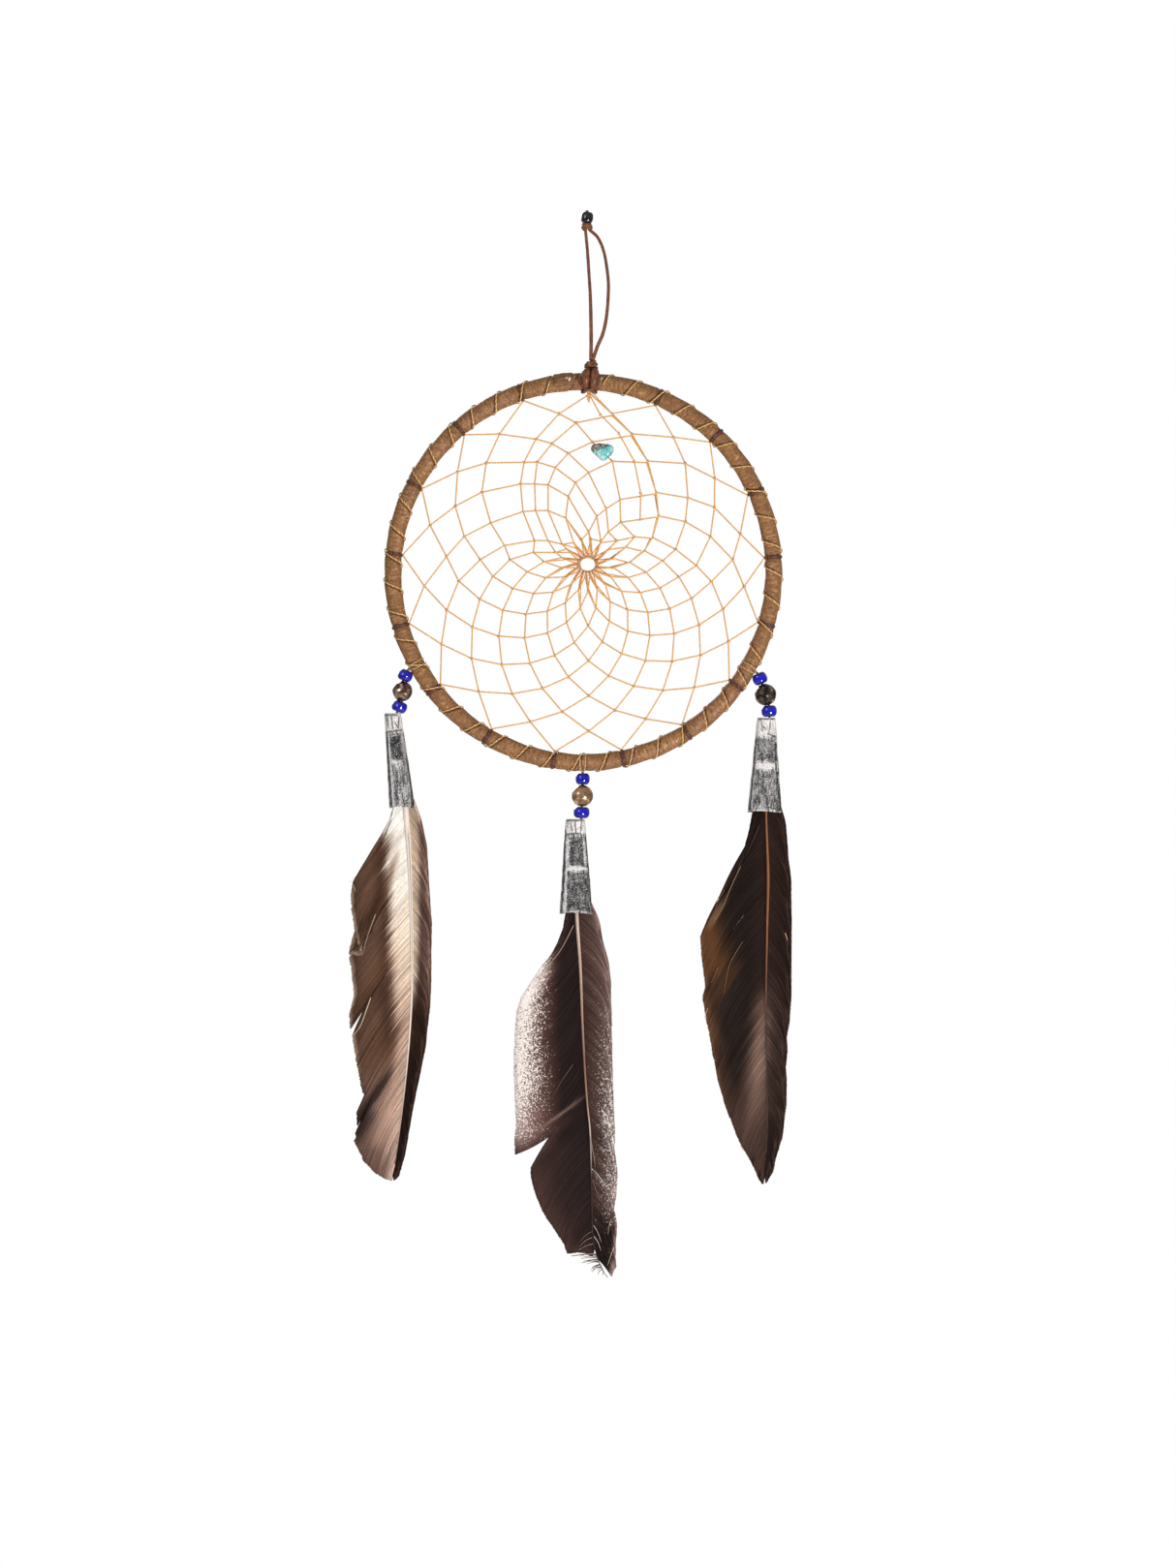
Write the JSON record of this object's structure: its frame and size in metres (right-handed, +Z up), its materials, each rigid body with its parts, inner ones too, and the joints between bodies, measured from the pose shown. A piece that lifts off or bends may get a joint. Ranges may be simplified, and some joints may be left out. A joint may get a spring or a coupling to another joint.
{
  "type": "dream catcher",
  "caption": "Dream catcher with a leather-wrapped hoop, a woven web holding a turquoise chip, a cord hanging loop and beaded pendants with tin cones and dark feathers.",
  "frame": {"origin": "the point under the top knot where the cord loop hangs on a nail", "axes": "+Z up, the hoop's front faces -Y, +X to the right seen from the front"},
  "size_m": [0.1406, 0.0078, 0.3403],
  "materials": {
    "cord_leather": "satin",
    "wrap_leather": "satin",
    "core_steel": "satin",
    "gold_thread": "satin",
    "dark_thread": "satin",
    "web_thread": "satin",
    "black_bead": "gloss",
    "blue_bead": "gloss",
    "dark_metal": "satin",
    "bronze_metal": "satin",
    "tin": "satin",
    "glue": "gloss",
    "turquoise": "satin",
    "quill": "satin",
    "feather_light": "satin",
    "feather_dark": "satin"
  },
  "bodies": {
    "hanger": {"hanger_cord": "cord_leather", "top_knot": "cord_leather", "top_bead": "black_bead"},
    "collar": {"collar_knot": "cord_leather"},
    "hitch": {"hoop_hitch": "cord_leather"},
    "hoop": {"hoop_core": "core_steel", "leather_wrap": "wrap_leather", "wrap_tail": "wrap_leather", "binding_thread": "gold_thread", "web_hitches": "dark_thread", "web_thread": "web_thread", "centre_ring": "dark_thread", "left_tie": "gold_thread", "middle_tie": "gold_thread", "right_tie": "gold_thread"},
    "chip": {"turquoise_chip": "turquoise"},
    "left_link": {"left_tie_knot": "glue"},
    "left_string": {"left_thread": "gold_thread"},
    "left_upper": {"left_upper_bead": "blue_bead"},
    "left_metal": {"left_metal_bead": "dark_metal"},
    "left_lower": {"left_lower_bead": "blue_bead"},
    "left_feather": {"left_cone": "tin", "left_glue_plug": "glue", "left_feather_shaft": "quill", "left_feather_vane": "feather_light"},
    "middle_link": {"middle_tie_knot": "glue"},
    "middle_string": {"middle_thread": "gold_thread"},
    "middle_upper": {"middle_upper_bead": "blue_bead"},
    "middle_metal": {"middle_metal_bead": "bronze_metal"},
    "middle_lower": {"middle_lower_bead": "blue_bead"},
    "middle_feather": {"middle_cone": "tin", "middle_glue_plug": "glue", "middle_feather_shaft": "quill", "middle_feather_vane": "feather_dark"},
    "right_link": {"right_tie_knot": "glue"},
    "right_string": {"right_thread": "gold_thread"},
    "right_upper": {"right_upper_bead": "blue_bead"},
    "right_metal": {"right_metal_bead": "dark_metal"},
    "right_lower": {"right_lower_bead": "blue_bead"},
    "right_feather": {"right_cone": "tin", "right_glue_plug": "glue", "right_feather_shaft": "quill", "right_feather_vane": "feather_dark"}
  },
  "joints": [
    {"name": "hanger_sway", "type": "hinge", "parent": "hanger", "child": "collar", "pos_m": [0.0011, 0, -0.0436], "axis": [0, 1, 0], "range_deg": [-12, 12]},
    {"name": "hoop_twist", "type": "hinge", "parent": "collar", "child": "hitch", "pos_m": [0.0011, 0, -0.0449], "axis": [0, 0, 1], "range_deg": [-180, 180]},
    {"name": "hoop_tilt", "type": "hinge", "parent": "hitch", "child": "hoop", "pos_m": [0.00019, 0, -0.04887], "axis": [0.9996, 0, -0.0279], "range_deg": [-30, 30]},
    {"name": "chip_spin", "type": "hinge", "parent": "hoop", "child": "chip", "pos_m": [0.00458, 0.00028, -0.07109], "axis": [0.7212, 0, -0.6927], "continuous": true},
    {"name": "left_swing", "type": "hinge", "parent": "hoop", "child": "left_link", "pos_m": [-0.0575, 0, -0.1407], "axis": [1, 0, 0], "range_deg": [-30, 30]},
    {"name": "left_sway", "type": "hinge", "parent": "left_link", "child": "left_string", "pos_m": [-0.0575, 0, -0.1407], "axis": [0, 1, 0], "range_deg": [0, 30]},
    {"name": "left_upper_spin", "type": "hinge", "parent": "left_string", "child": "left_upper", "pos_m": [-0.0582, 0, -0.1424], "axis": [0.3808, 0, 0.9247], "continuous": true},
    {"name": "left_metal_spin", "type": "hinge", "parent": "left_string", "child": "left_metal", "pos_m": [-0.0591, 0, -0.1474], "axis": [0.0605, 0, 0.9982], "continuous": true},
    {"name": "left_lower_spin", "type": "hinge", "parent": "left_string", "child": "left_lower", "pos_m": [-0.06005, 0, -0.15235], "axis": [0.4138, 0, 0.9104], "continuous": true},
    {"name": "left_twist", "type": "hinge", "parent": "left_string", "child": "left_feather", "pos_m": [-0.0608, 0, -0.1571], "axis": [0, 0, 1], "range_deg": [-180, 180]},
    {"name": "middle_swing", "type": "hinge", "parent": "hoop", "child": "middle_link", "pos_m": [-0.0017, 0, -0.1735], "axis": [1, 0, 0], "range_deg": [-30, 30]},
    {"name": "middle_sway", "type": "hinge", "parent": "middle_link", "child": "middle_string", "pos_m": [-0.0017, 0, -0.1735], "axis": [0, 1, 0], "range_deg": [-12, 12]},
    {"name": "middle_upper_spin", "type": "hinge", "parent": "middle_string", "child": "middle_upper", "pos_m": [-0.0017, 0, -0.17535], "axis": [0, 0, 1], "continuous": true},
    {"name": "middle_metal_spin", "type": "hinge", "parent": "middle_string", "child": "middle_metal", "pos_m": [-0.00183, 0, -0.1807], "axis": [0.0357, 0, 0.9994], "continuous": true},
    {"name": "middle_lower_spin", "type": "hinge", "parent": "middle_string", "child": "middle_lower", "pos_m": [-0.00205, 0, -0.18605], "axis": [0.054, 0, 0.9985], "continuous": true},
    {"name": "middle_twist", "type": "hinge", "parent": "middle_string", "child": "middle_feather", "pos_m": [-0.00215, 0, -0.1909], "axis": [0, 0, 1], "range_deg": [-180, 180]},
    {"name": "right_swing", "type": "hinge", "parent": "hoop", "child": "right_link", "pos_m": [0.054, 0, -0.1417], "axis": [1, 0, 0], "range_deg": [-30, 30]},
    {"name": "right_sway", "type": "hinge", "parent": "right_link", "child": "right_string", "pos_m": [0.054, 0, -0.1417], "axis": [0, 1, 0], "range_deg": [-30, 0]},
    {"name": "right_upper_spin", "type": "hinge", "parent": "right_string", "child": "right_upper", "pos_m": [0.05475, 0, -0.1434], "axis": [-0.4036, 0, 0.9149], "continuous": true},
    {"name": "right_metal_spin", "type": "hinge", "parent": "right_string", "child": "right_metal", "pos_m": [0.05655, 0, -0.1485], "axis": [-0.2951, 0, 0.9555], "continuous": true},
    {"name": "right_lower_spin", "type": "hinge", "parent": "right_string", "child": "right_lower", "pos_m": [0.0577, 0, -0.15375], "axis": [-0.054, 0, 0.9985], "continuous": true},
    {"name": "right_twist", "type": "hinge", "parent": "right_string", "child": "right_feather", "pos_m": [0.0578, 0, -0.1586], "axis": [0, 0, 1], "range_deg": [-180, 180]}
  ]
}
